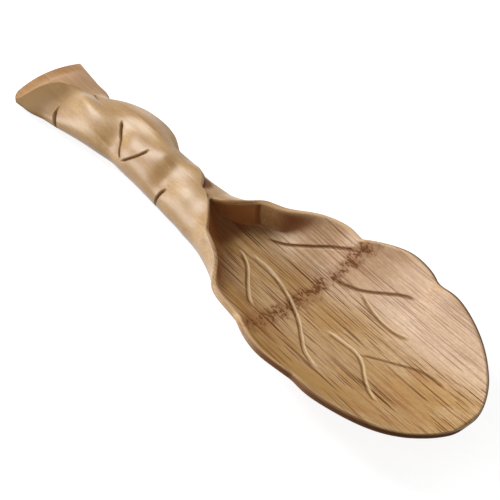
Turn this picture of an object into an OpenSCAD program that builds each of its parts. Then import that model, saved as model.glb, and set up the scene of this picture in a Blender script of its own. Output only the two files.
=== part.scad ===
// Leaf-shaped tea scoop carved from one length of bamboo culm.
// X runs from the cut stem end to the leaf tip, Y from the near side to the far side, Z up.
// The origin is under the middle of the scoop, on the surface that it rests on.
// The scoop is one carving. Its regions are cut square across where the carving has a notch,
// and they meet face to face.

/* [Scoop] */
// Length from the cut stem end to the leaf tip
overall_length = 165; // [140:1:190]
// Width of the leaf across its widest lobes
leaf_width = 48.8; // [41:0.2:56]
// Height that the curve of the leaf's trough would have if it closed on itself
trough_height = 56; // [48:1:64]
// Width of the rolled handle just behind the throat
handle_width = 14; // [12:0.25:17]
// Height of the rolled handle where the throat opens
handle_height = 13.4; // [11.8:0.2:16]
// Height of the underside of the leaf tip above the table
tip_lift = 12.4; // [8:0.2:15]

/* [Walls] */
// Thickness of the bamboo under the middle of the throat
floor_thickness = 4.4; // [3:0.1:5.2]
// Thickness of the bamboo under the middle of the leaf at its tip
tip_thickness = 2; // [1.4:0.1:3]
// Thickness of the walls and of the edge of the leaf
rim_thickness = 1.7; // [1.2:0.1:2.2]
// Radius of the hollow of the culm, which the floor of the throat follows
culm_radius = 35; // [25:1:50]
// Step where the near half of the leaf laps over the far half
lap_step = 1.1; // [0.7:0.1:1.6]
// Depth of the sanded flat that the scoop rests on
sole_depth = 0.4; // [0.2:0.05:0.7]

/* [Node] */
// Length of the band where the two internodes of the culm meet
node_length = 4; // [2.5:0.5:6]

/* [Hidden] */

// The trough is a little wider than the lobes that it carries
trough_share = 1.0248;
trough_half = leaf_width * trough_share / 2;
rise_half = trough_height / 2;
handle_half = handle_width / 2;
height_half = handle_height / 2;

// Places along the scoop, as shares of its length from the stem end
stem_notch_share = 0.147;
handle_notch_share = 0.326;
mouth_share = 0.445;
curl_notch_share = 0.495;
node_share = 0.656;
lobe_notch_share = 0.791;

// Half widths of the near side: place, share of the trough's half width, share of the handle's
near_span_shares = [
    [0, 0, 1.89], [0.048, 0, 1.87], [0.097, 0, 1.71], [stem_notch_share, 0, 1.5], [0.18, 0, 1.39],
    [0.21, 0, 1.3], [0.253, 0, 1.17], [0.295, 0, 1.17], [0.337, 0, 1.21], [0.373, 0, 1.26],
    [0.41, 0, 1.32], [mouth_share, 0.02, 1.33], [0.467, 0.08, 1.17], [0.506, 0.22, 0.92],
    [0.529, 0.36, 0.6], [0.55, 0.52, 0.24], [0.57, 0.67, 0], [0.582, 0.755, 0], [0.603, 0.865, 0],
    [0.627, 0.935, 0], [node_share, 0.975, 0], [0.7, 1.085, 0], [0.74, 1.14, 0],
    [lobe_notch_share, 1.13, 0], [0.84, 1.155, 0], [0.9, 1.14, 0], [0.96, 1.075, 0], [1, 0.91, 0]
];

// Half heights of the near side: place, share of the trough's half height, share of the handle's
near_rise_shares = [
    [0, 0, 0.36], [0.04, 0, 0.48], [0.09, 0, 0.62], [stem_notch_share, 0, 0.78], [0.19, 0, 0.9],
    [0.25, 0, 0.98], [handle_notch_share, 0, 0.98], [0.4, 0, 1], [mouth_share, 0, 1.04],
    [0.468, 0, 1.09], [curl_notch_share, 0.03, 1.17], [0.53, 0.1, 0.92], [0.549, 0.17, 0.7],
    [0.56, 0.25, 0.45], [0.572, 0.43, 0], [0.586, 0.6, 0], [0.604, 0.79, 0], [0.625, 0.93, 0],
    [node_share, 0.99, 0], [0.7, 1, 0], [0.74, 1, 0], [lobe_notch_share, 1, 0], [0.9, 1, 0], [1, 0.9, 0]
];

// The same for the far side
far_span_shares = [
    [0, 0, 1.38], [0.04, 0, 1.22], [0.09, 0, 0.99], [0.125, 0, 0.87], [stem_notch_share, 0, 0.79],
    [0.158, 0, 0.95], [0.185, 0, 1.21], [0.219, 0, 1.31], [0.253, 0, 1.31], [0.285, 0, 1.18],
    [0.31, 0, 0.89], [handle_notch_share, 0, 0.7], [0.349, 0, 0.74], [0.378, 0, 0.76], [0.414, 0, 0.9],
    [mouth_share, 0, 0.98], [0.467, 0.02, 1.03], [0.49, 0.06, 1.12], [0.503, 0.14, 0.96],
    [0.522, 0.24, 0.72], [0.541, 0.37, 0.43], [0.551, 0.48, 0.26], [0.566, 0.63, 0], [0.58, 0.72, 0],
    [0.607, 0.835, 0], [0.634, 0.92, 0], [node_share, 0.94, 0], [0.675, 0.985, 0], [0.7, 1.065, 0],
    [0.74, 1.15, 0], [lobe_notch_share, 1.155, 0], [0.812, 1.07, 0], [0.835, 1.065, 0], [0.86, 1.08, 0],
    [0.9, 1.06, 0], [1, 0.95, 0]
];
far_rise_shares = [
    [0, 0, 0.3], [0.09, 0, 0.58], [stem_notch_share, 0, 0.74], [0.19, 0, 0.86], [0.25, 0, 0.93],
    [handle_notch_share, 0, 0.93], [0.4, 0, 0.93], [mouth_share, 0, 0.96], [0.456, 0, 0.99],
    [0.474, 0, 1.06], [0.49, 0, 1.16], [0.498, 0.05, 1.14], [0.503, 0.12, 1.06], [0.522, 0.22, 0.76],
    [0.541, 0.33, 0.42], [0.551, 0.4, 0.28], [0.566, 0.57, 0], [0.58, 0.65, 0], [0.607, 0.73, 0],
    [0.634, 0.83, 0], [node_share, 0.99, 0], [0.7, 1, 0], [0.74, 1, 0], [lobe_notch_share, 1, 0],
    [0.9, 1, 0], [1, 0.9, 0]
];

// Where each side's edge lies: place, share of the half turn from straight down, and a lobe's swell past it
near_edge_shares = [
    [0, 0.556, 0], [0.02, 0.644, 0], [0.034, 0.867, 0], [0.053, 0.961, 0], [0.082, 0.994, 0],
    [0.119, 1.028, 0], [stem_notch_share, 1.072, 0.078], [handle_notch_share, 1.289, 0.022],
    [0.396, 1.122, 0], [0.424, 0.972, 0.044], [curl_notch_share, 0.706, 0.017], [0.53, 0.694, 0],
    [0.549, 0.667, 0], [0.56, 0.611, 0], [0.572, 0.522, 0], [0.586, 0.439, 0], [0.604, 0.367, 0],
    [0.625, 0.333, 0], [node_share, 0.311, 0.028], [lobe_notch_share, 0.294, 0], [0.83, 0.317, 0],
    [0.87, 0.306, 0], [1, 0.267, 0]
];
far_edge_shares = [
    [mouth_share, 0.989, 0], [0.456, 0.967, 0], [0.474, 0.867, 0], [0.49, 0.767, 0],
    [0.498, 0.661, 0], [0.503, 0.6, 0], [0.522, 0.55, 0], [0.541, 0.528, 0], [0.551, 0.5, 0],
    [0.566, 0.45, 0], [0.58, 0.411, 0], [0.607, 0.378, 0], [0.634, 0.344, 0],
    [node_share, 0.311, 0.028], [lobe_notch_share, 0.294, 0], [0.83, 0.317, 0], [0.87, 0.306, 0],
    [1, 0.283, 0]
];

// Where the throat's floor meets its walls: place, share of the trough's half width, of the handle's
near_heel_shares = [
    [mouth_share, 0, -0.16], [0.46, 0, -0.06], [0.476, 0, -0.02], [0.5, 0, -0.3], [0.534, -0.12, -0.35],
    [0.549, -0.25, -0.24], [0.58, -0.52, 0], [0.62, -0.66, 0], [1, -0.66, 0]
];
far_heel_shares = [
    [mouth_share, 0, 0.02], [0.46, 0, 0.13], [0.476, 0, 0.37], [0.492, 0.03, 0.66], [0.499, 0.11, 0.74],
    [0.509, 0.14, 0.67], [0.528, 0.21, 0.51], [0.545, 0.32, 0.36], [0.557, 0.42, 0.19], [0.57, 0.575, 0],
    [0.578, 0.65, 0], [0.588, 0.72, 0], [0.62, 0.8, 0], [1, 0.8, 0]
];

// How far up the far wall the floor sweeps where the wall runs out, as a share of the wall
sweep_shares = [[0, 0], [0.545, 0], [0.557, 0.18], [0.57, 0.5], [0.578, 0.85], [0.588, 1], [1, 1]];

// Share of the handle's height that the floor has climbed at the back of the throat
climb_shares = [[mouth_share, 0.46], [0.46, 0.3], [0.478, 0.02], [0.5, 0], [1, 0]];

// Height of the underside, as shares of the tip's lift
keel_shares = [
    [0, 0], [0.65, 0], [0.74, 0.14], [lobe_notch_share, 0.235], [0.84, 0.35], [0.9, 0.55],
    [0.94, 0.71], [0.97, 0.85], [1, 1]
];

// Thickness at the middle, as shares of the way from the tip's to the throat's
floor_shares = [
    [0, 1], [0.57, 1], [node_share, 0.8], [0.74, 0.46], [0.84, 0.21], [0.94, 0.05], [1, 0]
];

// Shares of the handle's height that the far corner of the stem end reaches
corner_shares = [[0, 0.13], [0.055, 0.24], [0.11, 0.38], [stem_notch_share, 0.5], [1, 0.5]];

// How much of the sanded flat, of the faceted stem, of the lap and of the cornered floor each place shows
sole_shares = [[0, 1], [node_share, 1], [lobe_notch_share, 0], [1, 0]];
facet_shares = [[0, 1], [0.11, 1], [0.15, 0], [1, 0]];
lap_shares = [[0, 0.2], [0.05, 1], [0.37, 1], [0.42, 1.5], [1, 1.5]];
far_corner_shares = [[0, 1], [0.57, 1], [0.585, 0.85], [0.65, 0], [1, 0]];
near_corner_shares = [[0, 1], [0.45, 1], [0.475, 0.7], [0.5, 0.5], [0.53, 0.3], [0.58, 0], [1, 0]];

// Shares of the facet's path at the stem end, of the width that its foot keeps and of the edge's roundness
side_share = 0.3;
foot_share = 0.97;
crown_share = 0.1;
rim_bulge_share = 0.8;
least_sole_share = 0.05;

// The stem end is cut in a shallow bow, deepest near its middle
bow_share = 0.16;
bow_middle_share = -0.3;
bow_reach_share = 1.6;
bow_length_share = 0.1;

// Counts of steps round each side of a section
arc_steps = 10;
floor_steps = 10;
rim_steps = 4;

// Smooth reading of a table at one place
function seat(rows, s, i = 0) = i >= len(rows) - 2 || s < rows[i + 1][0] ? i : seat(rows, s, i + 1);
function slope(rows, i, c) = (rows[i + 1][c] - rows[i][c]) / (rows[i + 1][0] - rows[i][0]);
function level(a, b) = a * b <= 0 ? 0 : 2 * a * b / (a + b);
function lean(rows, i, c) =
    i == 0 ? slope(rows, 0, c) :
    i == len(rows) - 1 ? slope(rows, i - 1, c) :
    level(slope(rows, i - 1, c), slope(rows, i, c));
function read(rows, s, c) =
    let (i = seat(rows, s),
         w = rows[i + 1][0] - rows[i][0],
         t = min(1, max(0, (s - rows[i][0]) / w)))
    rows[i][c] * (1 + 2 * t) * (1 - t) * (1 - t) + lean(rows, i, c) * w * t * (1 - t) * (1 - t)
    + rows[i + 1][c] * t * t * (3 - 2 * t) - lean(rows, i + 1, c) * w * t * t * (1 - t);

// Sizes of a section at one place
function near_span(s) = trough_half * read(near_span_shares, s, 1) + handle_half * read(near_span_shares, s, 2);
function far_span(s) = trough_half * read(far_span_shares, s, 1) + handle_half * read(far_span_shares, s, 2);
function near_rise(s) = rise_half * read(near_rise_shares, s, 1) + height_half * read(near_rise_shares, s, 2);
function far_rise(s) = rise_half * read(far_rise_shares, s, 1) + height_half * read(far_rise_shares, s, 2);
function keel(s) = tip_lift * read(keel_shares, s, 1);
function middle_thickness(s) = tip_thickness + (floor_thickness - tip_thickness) * read(floor_shares, s, 1);
function sole(s) = sole_depth * read(sole_shares, s, 1);
function lap(s) = lap_step * read(lap_shares, s, 1);

// The leaf closes to its tip as an ellipse does
function closing(s) =
    s <= lobe_notch_share ? 1 :
    sqrt(max(0, 1 - pow((s - lobe_notch_share) / (1 - lobe_notch_share), 2)));
function lobe(rows, s) =
    let (i = seat(rows, s), t = (s - rows[i][0]) / (rows[i + 1][0] - rows[i][0]))
    rows[i][2] * sqrt(max(0, 4 * t * (1 - t)));
function edge(rows, s) = 180 * (read(rows, s, 1) + lobe(rows, s)) * closing(s);

// A point of the outer skin, on one half of a section, as its distance out and its height
function skin(span, rise, angle, s) =
    [span * sin(angle), keel(s) + max(0, rise * (1 - cos(angle)) - sole(s))];
function outward(span, rise, angle) =
    let (n = [sin(angle) / span, -cos(angle) / rise]) n / norm(n);
function first_angle(rise, last, s) = max(acos(1 - sole(s) / rise), least_sole_share * last);

// The inner skin of one half, from the middle (u of 0) to the rim (u of 1)
function depth(u, s) = rim_thickness + (middle_thickness(s) - rim_thickness) * (1 - u * u);
function bowl(span, rise, last, u, s) =
    skin(span, rise, u * last, s) - outward(span, rise, u * last) * depth(u, s);
function floor_height(y, s) =
    keel(s) + middle_thickness(s) + y * y / (2 * culm_radius) + handle_height * read(climb_shares, s, 1);
function trough(span, rise, last, u, s, middle, heel) =
    let (top = bowl(span, rise, last, 1, s),
         w = min(1, 2 * u),
         out = min(heel, top[0]),
         y = middle + (out - middle) * w,
         sweep = (top[1] - floor_height(out, s)) * read(sweep_shares, s, 1),
         foot = [out, floor_height(out, s) + sweep])
    u < 0.5 ? [y, floor_height(y, s) + sweep * w * w * w] : foot + (top - foot) * (2 * u - 1);
function lining(span, rise, last, u, s, k, middle, heel) =
    (1 - k) * bowl(span, rise, last, u, s) + k * trough(span, rise, last, u, s, middle, heel);

// The rounded edge between the outer and the inner skin
function brink(span, rise, last, a, s) =
    let (outer = skin(span, rise, last, s),
         n = outward(span, rise, last),
         along = [-n[1], n[0]],
         r = rim_thickness / 2)
    outer - n * r + n * r * cos(a) + along * r * rim_bulge_share * sin(a);

function flip(p) = [-p[0], p[1]];

// An open section: near skin up, near edge, floor across, far edge, far skin down
function half_up(span, rise, last, s) =
    let (first = first_angle(rise, last, s))
    [for (i = [0 : arc_steps]) skin(span, rise, first + (last - first) * i / arc_steps, s)];
function half_round(span, rise, last, s) =
    [for (i = [1 : rim_steps - 1]) brink(span, rise, last, 180 * i / rim_steps, s)];
function half_in(span, rise, last, s, k, middle, heel) =
    [for (i = [0 : floor_steps - 1]) lining(span, rise, last, 1 - i / floor_steps, s, k, middle, heel)];
function half_open(span, rise, last, s, k, middle, heel) =
    concat(
        half_up(span, rise, last, s),
        half_round(span, rise, last, s),
        half_in(span, rise, last, s, k, middle, heel)
    );
function reversed(list) = [for (i = [len(list) - 1 : -1 : 0]) list[i]];
function heel(rows, s) = trough_half * read(rows, s, 1) + handle_half * read(rows, s, 2);
function open_section(s) =
    let (kn = read(near_corner_shares, s, 1),
         kf = read(far_corner_shares, s, 1),
         yn = heel(near_heel_shares, s),
         yf = heel(far_heel_shares, s),
         middle = (yn + yf) / 2,
         near = half_open(near_span(s), near_rise(s), edge(near_edge_shares, s), s, kn, -middle, -yn),
         far = half_open(far_span(s), far_rise(s), edge(far_edge_shares, s), s, kf, middle, yf),
         k = (kn + kf) / 2)
    concat(
        [for (p = near) flip(p)],
        [[k * middle, floor_height(k * middle, s)]],
        reversed(far)
    );

// A closed section: the near half wraps over the top and laps onto the far half
function wrap(s, angle) =
    angle <= 180 ? flip(skin(near_span(s), near_rise(s), angle, s)) :
    flip(skin(far_span(s) + lap(s), near_rise(s), angle, s));
function wrap_steps() = 2 * arc_steps;
function far_round(s, u) =
    let (last = 360 - edge(near_edge_shares, s), first = first_angle(far_rise(s), 180, s))
    skin(far_span(s), far_rise(s), first + (last - first) * u, s);
function far_facet(s, u) =
    let (last = edge(near_edge_shares, s),
         top = wrap(s, last) - flip(outward(near_span(s), near_rise(s), last)) * lap(s),
         corner = [far_span(s), handle_height * read(corner_shares, s, 1)],
         foot = [far_span(s) * foot_share, 0])
    let (w = max(0, u - side_share) / (1 - side_share),
         crown = [0, handle_height * crown_share * 4 * w * (1 - w) * max(0, 1 - s / bow_length_share)])
    u < side_share ? foot + (corner - foot) * u / side_share : corner + (top - corner) * w + crown;
function far_side(s, u) =
    let (k = read(facet_shares, s, 1)) k * far_facet(s, u) + (1 - k) * far_round(s, u);
function closed_section(s) =
    let (last = edge(near_edge_shares, s), first = first_angle(near_rise(s), 180, s))
    concat(
        [for (i = [0 : wrap_steps()]) wrap(s, first + (last - first) * i / wrap_steps())],
        [for (i = [arc_steps : -1 : 0]) far_side(s, i / arc_steps)]
    );

function bow(y, s) =
    let (off = (y / handle_half - bow_middle_share) / bow_reach_share)
    handle_half * bow_share * off * off * max(0, 1 - s / bow_length_share);
function placed(section, s) = [for (p = section) [overall_length * (s - 0.5) + bow(p[0], s), p[0], p[1]]];

// Triangles that fill a run of points, each joined to its partner from the other end of the run
function ladder(from, to) = [for (k = [0 : ceil((to - from) / 2) - 1])
    let (a = from + k, b = to - k) each
    b - a > 2 ? [[a, a + 1, b - 1], [a, b - 1, b]] : b - a > 1 ? [[a, a + 1, b]] : []];

// A solid through a row of sections with as many points each, hollow ones filled in two halves
module loft(sections, hollow) {
    m = len(sections[0]);
    n = len(sections);
    half = (m - 1) / 2;
    sides = [for (j = [0 : n - 2], i = [0 : m - 1]) each [
        [j * m + i, j * m + (i + 1) % m, (j + 1) * m + (i + 1) % m],
        [j * m + i, (j + 1) * m + (i + 1) % m, (j + 1) * m + i]
    ]];
    cap = hollow ? concat(ladder(0, half), ladder(half, m - 1), [[0, half, m - 1]]) : ladder(0, m - 1);
    back = [for (t = cap) [t[2], t[1], t[0]]];
    front = [for (t = cap) [for (i = t) (n - 1) * m + i]];
    polyhedron(points = [for (section = sections) each section], faces = concat(sides, back, front));
}

function stations(from, to, count) = [for (i = [0 : count]) from + (to - from) * i / count];

node_half_share = node_length / overall_length / 2;
node_from = node_share - node_half_share;
node_to = node_share + node_half_share;
blade_steps = 30;
throat_steps = 36;
last_share = 0.9995;

module leaf_blade() {
    color("burlywood")
    loft([for (i = [0 : blade_steps]) let (
        t = i / blade_steps,
        s = node_to + (last_share - node_to) * (1 - pow(1 - t, 1.6))
    ) placed(open_section(s), s)], true);
}

module node_band() {
    color("saddlebrown")
    loft([for (s = stations(node_from, node_to, 3)) placed(open_section(s), s)], true);
}

module leaf_throat() {
    color("peru")
    loft([for (i = [0 : throat_steps]) let (
        s = mouth_share + (node_from - mouth_share) * pow(i / throat_steps, 1.3)
    ) placed(open_section(s), s)], true);
}

module rolled_handle() {
    color("tan")
    loft([for (s = stations(stem_notch_share, mouth_share, 44)) placed(closed_section(s), s)], false);
}

module stem_end() {
    color("wheat")
    loft([for (s = stations(0, stem_notch_share, 18)) placed(closed_section(s), s)], false);
}

leaf_blade();
node_band();
leaf_throat();
rolled_handle();
stem_end();
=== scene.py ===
"""A leaf-shaped tea scoop carved from bamboo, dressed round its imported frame.

X runs from the cut stem end to the leaf tip, Y from the near side to the far side, Z up.
The carving is sculpted in millimetres as rows of sections, as the frame's solids are, and then
cut into one piece for each CAD node, so that every piece stays where its node is.
"""

import math

import bpy
import numpy as np
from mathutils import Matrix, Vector


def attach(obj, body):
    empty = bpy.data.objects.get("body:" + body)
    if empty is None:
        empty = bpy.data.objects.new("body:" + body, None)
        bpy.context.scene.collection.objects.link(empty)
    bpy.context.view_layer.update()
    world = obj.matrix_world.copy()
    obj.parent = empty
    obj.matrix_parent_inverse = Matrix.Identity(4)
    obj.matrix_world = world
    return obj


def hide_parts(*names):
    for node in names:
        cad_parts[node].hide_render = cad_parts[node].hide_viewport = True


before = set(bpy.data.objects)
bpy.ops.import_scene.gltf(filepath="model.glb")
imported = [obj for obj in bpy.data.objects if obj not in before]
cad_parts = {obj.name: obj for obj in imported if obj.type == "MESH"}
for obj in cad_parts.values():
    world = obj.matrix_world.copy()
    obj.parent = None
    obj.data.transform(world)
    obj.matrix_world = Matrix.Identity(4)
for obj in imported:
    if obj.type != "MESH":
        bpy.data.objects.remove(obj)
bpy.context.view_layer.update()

MM = 0.001

# Driving sizes of the carving, in millimetres
LENGTH = 165.0
TROUGH_HALF = 48.8 * 1.0248 / 2
RISE_HALF = 56.0 / 2
HANDLE_HALF = 14.0 / 2
HEIGHT = 13.4
HEIGHT_HALF = HEIGHT / 2
TIP_LIFT = 12.4
FLOOR_THICKNESS = 4.4
TIP_THICKNESS = 2.0
RIM = 1.7
CULM_RADIUS = 35.0
LAP = 1.1
SOLE = 0.4
NODE_LENGTH = 4.0

# Places along the scoop, as shares of its length from the stem end
STEM_NOTCH = 0.147
HANDLE_NOTCH = 0.326
MOUTH = 0.445
CURL_NOTCH = 0.495
NODE = 0.656
LOBE_NOTCH = 0.791
TIP = 0.99985

# Half widths of the near side: place, share of the trough's half width, share of the handle's
NEAR_SPAN = (
    (0, 0, 1.89), (0.048, 0, 1.87), (0.097, 0, 1.71), (STEM_NOTCH, 0, 1.5), (0.18, 0, 1.39), (0.21, 0, 1.3),
    (0.253, 0, 1.17), (0.295, 0, 1.17), (0.337, 0, 1.21), (0.373, 0, 1.26), (0.41, 0, 1.32),
    (MOUTH, 0.02, 1.33), (0.467, 0.08, 1.17), (0.506, 0.22, 0.92), (0.529, 0.36, 0.6),
    (0.55, 0.52, 0.24), (0.57, 0.67, 0), (0.582, 0.755, 0), (0.603, 0.865, 0), (0.627, 0.935, 0),
    (NODE, 0.975, 0), (0.7, 1.085, 0), (0.74, 1.14, 0), (LOBE_NOTCH, 1.13, 0),
    (0.84, 1.155, 0), (0.9, 1.14, 0), (0.96, 1.075, 0), (1, 0.91, 0),
)
NEAR_RISE = (
    (0, 0, 0.36), (0.04, 0, 0.48), (0.09, 0, 0.62), (STEM_NOTCH, 0, 0.78), (0.19, 0, 0.9),
    (0.25, 0, 0.98), (HANDLE_NOTCH, 0, 0.98), (0.4, 0, 1), (MOUTH, 0, 1.04),
    (0.468, 0, 1.09), (CURL_NOTCH, 0.03, 1.17), (0.53, 0.1, 0.92), (0.549, 0.17, 0.7),
    (0.56, 0.25, 0.45), (0.572, 0.43, 0), (0.586, 0.6, 0), (0.604, 0.79, 0), (0.625, 0.93, 0),
    (NODE, 0.99, 0), (0.7, 1, 0), (0.74, 1, 0), (LOBE_NOTCH, 1, 0), (0.9, 1, 0), (1, 0.9, 0),
)
FAR_SPAN = (
    (0, 0, 1.38), (0.04, 0, 1.22), (0.09, 0, 0.99), (0.125, 0, 0.87), (STEM_NOTCH, 0, 0.79),
    (0.158, 0, 0.95), (0.185, 0, 1.21), (0.219, 0, 1.31), (0.253, 0, 1.31), (0.285, 0, 1.18),
    (0.31, 0, 0.89), (HANDLE_NOTCH, 0, 0.7), (0.349, 0, 0.74), (0.378, 0, 0.76), (0.414, 0, 0.9),
    (MOUTH, 0, 0.98), (0.467, 0.02, 1.03), (0.49, 0.06, 1.12), (0.503, 0.14, 0.96),
    (0.522, 0.24, 0.72), (0.541, 0.37, 0.43), (0.551, 0.48, 0.26), (0.566, 0.63, 0), (0.58, 0.72, 0),
    (0.607, 0.835, 0), (0.634, 0.92, 0), (NODE, 0.94, 0), (0.675, 0.985, 0), (0.7, 1.065, 0),
    (0.74, 1.15, 0), (LOBE_NOTCH, 1.155, 0), (0.812, 1.07, 0), (0.835, 1.065, 0), (0.86, 1.08, 0),
    (0.9, 1.06, 0), (1, 0.95, 0),
)
FAR_RISE = (
    (0, 0, 0.3), (0.09, 0, 0.58), (STEM_NOTCH, 0, 0.74), (0.19, 0, 0.86), (0.25, 0, 0.93),
    (HANDLE_NOTCH, 0, 0.93), (0.4, 0, 0.93), (MOUTH, 0, 0.96), (0.456, 0, 0.99),
    (0.474, 0, 1.06), (0.49, 0, 1.16), (0.498, 0.05, 1.14), (0.503, 0.12, 1.06), (0.522, 0.22, 0.76),
    (0.541, 0.33, 0.42), (0.551, 0.4, 0.28), (0.566, 0.57, 0), (0.58, 0.65, 0), (0.607, 0.73, 0),
    (0.634, 0.83, 0), (NODE, 0.99, 0), (0.7, 1, 0), (0.74, 1, 0), (LOBE_NOTCH, 1, 0),
    (0.9, 1, 0), (1, 0.9, 0),
)

# Where each side's edge lies: place, share of the half turn from straight down, a lobe's swell past it
NEAR_EDGE = (
    (0, 0.556, 0), (0.02, 0.644, 0), (0.034, 0.867, 0), (0.053, 0.961, 0), (0.082, 0.994, 0),
    (0.119, 1.028, 0), (STEM_NOTCH, 1.072, 0.078), (HANDLE_NOTCH, 1.289, 0.022),
    (0.396, 1.122, 0), (0.424, 0.972, 0.085), (CURL_NOTCH, 0.69, 0.01), (0.53, 0.668, 0),
    (0.549, 0.65, 0), (0.56, 0.611, 0), (0.572, 0.522, 0), (0.586, 0.439, 0), (0.604, 0.367, 0),
    (0.625, 0.333, 0), (NODE, 0.311, 0.028), (LOBE_NOTCH, 0.294, 0), (0.83, 0.317, 0),
    (0.87, 0.306, 0), (1, 0.267, 0),
)
FAR_EDGE = (
    (MOUTH, 0.989, 0), (0.456, 0.967, 0), (0.474, 0.867, 0), (0.49, 0.767, 0),
    (0.498, 0.661, 0), (0.503, 0.6, 0), (0.522, 0.55, 0), (0.541, 0.528, 0), (0.551, 0.5, 0),
    (0.566, 0.45, 0), (0.58, 0.411, 0), (0.607, 0.378, 0), (0.634, 0.344, 0),
    (NODE, 0.311, 0.028), (LOBE_NOTCH, 0.294, 0), (0.83, 0.317, 0), (0.87, 0.306, 0),
    (1, 0.283, 0),
)

# Where the throat's floor meets its walls: place, share of the trough's half width, of the handle's
NEAR_HEEL = (
    (MOUTH, 0, -0.16), (0.46, 0, -0.06), (0.476, 0, -0.02), (0.5, 0, -0.3), (0.534, -0.12, -0.35),
    (0.549, -0.25, -0.24), (0.58, -0.52, 0), (0.62, -0.66, 0), (1, -0.66, 0),
)
FAR_HEEL = (
    (MOUTH, 0, 0.02), (0.46, 0, 0.13), (0.476, 0, 0.37), (0.492, 0.03, 0.66), (0.499, 0.11, 0.74),
    (0.509, 0.14, 0.67), (0.528, 0.21, 0.51), (0.545, 0.32, 0.36), (0.557, 0.42, 0.19),
    (0.57, 0.575, 0), (0.578, 0.65, 0), (0.588, 0.72, 0), (0.62, 0.8, 0), (1, 0.8, 0),
)

# How far up the far wall the floor sweeps, how high it climbs at the back, the keel and the thickness
SWEEP = ((0, 0), (0.545, 0), (0.557, 0.18), (0.57, 0.5), (0.578, 0.85), (0.588, 1), (1, 1))
CLIMB = ((MOUTH, 0.46), (0.46, 0.3), (0.478, 0.02), (0.5, 0), (1, 0))
KEEL = (
    (0, 0), (0.65, 0), (0.74, 0.14), (LOBE_NOTCH, 0.235), (0.84, 0.35), (0.9, 0.55),
    (0.94, 0.71), (0.97, 0.85), (1, 1),
)
THICK = ((0, 1), (0.57, 1), (NODE, 0.8), (0.74, 0.46), (0.84, 0.21), (0.94, 0.05), (1, 0))
CORNER = ((0, 0.13), (0.055, 0.24), (0.11, 0.38), (STEM_NOTCH, 0.5), (1, 0.5))

# How much of the flat sole, of the faceted stem, of the lap and of the cornered floor each place shows
FLAT = ((0, 1), (NODE, 1), (LOBE_NOTCH, 0), (1, 0))
FACET = ((0, 1), (0.11, 1), (0.15, 0), (1, 0))
LAPPED = ((0, 0.02), (0.06, 0.06), (0.1, 0.7), (0.14, 1), (0.37, 1), (0.42, 1.5), (1, 1.5))
FAR_CORNERED = ((0, 1), (0.57, 1), (0.585, 0.85), (0.65, 0), (1, 0))
NEAR_CORNERED = ((0, 1), (0.45, 1), (0.475, 0.7), (0.5, 0.5), (0.53, 0.3), (0.58, 0), (1, 0))

# The stem end's facet: shares of its path, of the width its foot keeps, of the handle's height
SIDE = 0.3
FOOT = 0.97
CROWN = 0.1
# A rim's bulge, the least sole, and what is left of a section at the very tip, as shares
RIM_BULGE = 0.8
LEAST_SOLE = 0.05
TIP_LEAST = 0.02
# The bow of the cut stem end as shares of the handle's half width and of the length
BOW = 0.16
BOW_MIDDLE = -0.3
BOW_REACH = 1.6
BOW_LENGTH = 0.1
# Where the near corner of the cut end starts to round off, and its radius
CORNER_START = -10.3
CORNER_ROUND = 3.0

# Counts of points round half a section, its rim's crest, and the spacing of sections in millimetres
OUTER_STEPS = 48
INNER_STEPS = 110
RIM_STEPS = 12
CREST = OUTER_STEPS + RIM_STEPS // 2
HANDLE_STEPS = 100
LEAF_SPACING = 0.24
HANDLE_SPACING = 0.25
NOSE = 0.012
NOSE_STEPS = 26

# How the grids are evened: passes, points held beside a rim, and a notch's reach and hold
FLOOR_PASSES = 6
RIM_HELD = 8
LEAF_PASSES = 150
HANDLE_PASSES = 12
NOTCH_REACH = 1.7
NOTCH_HOLD = 0.85
EVENING = 0.5

# Shares of the scoop's length over which the evening and the carving fade in or out
MOUTH_FADE = 0.012
TIP_FADE_END = 0.94
TIP_FADE = 0.03
CARVING_FADE = 0.02
HAND_CUT_END = 0.985
HANDLE_FADE = 0.04
STEM_FADE = 0.03

# Carved veins as (x, y) in millimetres, with their greatest depth and their lip's height
VEINS = (
    (0.5, 0.2, ((2.6, -1.2), (3.8, -1.6), (8.7, -3.4), (13.7, -7.3), (19, -11), (22.6, -12))),
    (0.55, 0.22, ((6, -0.3), (10, -0.1), (14.1, -0.1), (21, -1.4), (25.4, -2.8), (30.1, -4.8),
                  (34.6, -7.8), (39.2, -10.8), (43.8, -12.4), (47.6, -12.7))),
    (0.45, 0, ((4, 6.1), (7.7, 7.2), (11.5, 8.9), (15.7, 11.4), (19.8, 14.2), (23.8, 16),
               (28, 17))),
    (0.5, 0, ((25.6, 9.6), (27.2, 9.8), (30.9, 10.8), (34.5, 12.1), (39.1, 14.5), (42.4, 16.1),
              (44.8, 16.9), (48.4, 17.4))),
    (0.28, 0.1, ((34, 11.4), (35.6, 11), (39, 10), (43.3, 9.1), (46.6, 8.8), (50.6, 8.9),
                 (54.5, 9.6))),
    (0.34, 0.2, ((36, -1.9), (41.5, -1.6), (46.9, -1.5), (50.6, -2.8), (53.7, -5), (57.2, -7.3),
                 (60.6, -8.9), (64.2, -9.9))),
    (0.4, 0, ((47.2, -1.5), (51, 0.8), (55.3, 2.7), (60.6, 4.7), (65, 5.3), (71.6, 4.8))),
)
VEIN_HALF_WIDTH = 0.46
VEIN_TAPER = 3.5
# The lip's half width, its offset to the far side, and the height at which it is fully pale
VEIN_LIP = 0.5
LIP_OFFSET = 0.62
FULL_LIP = 0.2

# The upright crease where the far wall turns, as (x, z) in millimetres
WALL_CREASE = ((0.3, 12.9), (0.4, 9.0), (0.5, 5.0))
WALL_CREASE_HALF_WIDTH = 0.55
WALL_CREASE_DEPTH = 0.5
WALL_CREASE_TAPER = 1.0
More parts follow.
